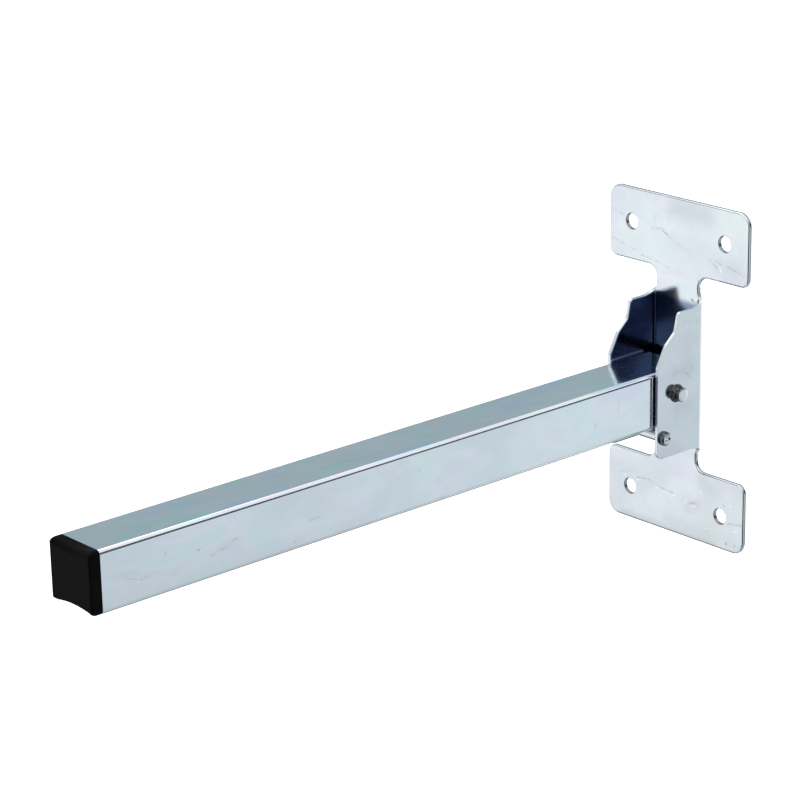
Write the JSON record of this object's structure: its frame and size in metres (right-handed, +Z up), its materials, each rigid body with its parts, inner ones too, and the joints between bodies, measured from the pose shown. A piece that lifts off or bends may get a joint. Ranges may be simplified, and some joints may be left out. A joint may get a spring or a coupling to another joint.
{
  "type": "folding table leg",
  "caption": "Square tube leg with a foot cap, hinged on a rivet between the ears of a folded steel mounting bracket, with a stop pin under the leg.",
  "frame": {"origin": "centre of the four screw holes, in the plane of the mounting face on the back of the plate", "axes": "+X out of the mounting face, into the surface the bracket is screwed to, so the leg reaches along -X at rest; +Z up the plate, the way the leg folds; the pivot runs along Y"},
  "size_m": [0.3205, 0.08, 0.1516],
  "materials": {
    "plated_sheet": "bright zinc plate",
    "plated_tube": "bright zinc plate, drawn lengthwise",
    "black_plastic": "moulded, satin",
    "bright_steel": "bright zinc plate"
  },
  "bodies": {
    "bracket": {"mounting_bracket": "plated_sheet", "pivot_rivet": "bright_steel", "pivot_sleeve": "bright_steel", "near_washer": "bright_steel", "far_washer": "bright_steel", "stop_pin": "bright_steel"},
    "leg": {"leg_tube": "plated_tube", "foot_cap": "black_plastic"}
  },
  "joints": [
    {"name": "leg_fold", "type": "hinge", "parent": "bracket", "child": "leg", "pos_m": [-0.0171, 0, -0.0039], "axis": [0, 1, 0], "range_deg": [-10.5, 90]}
  ]
}
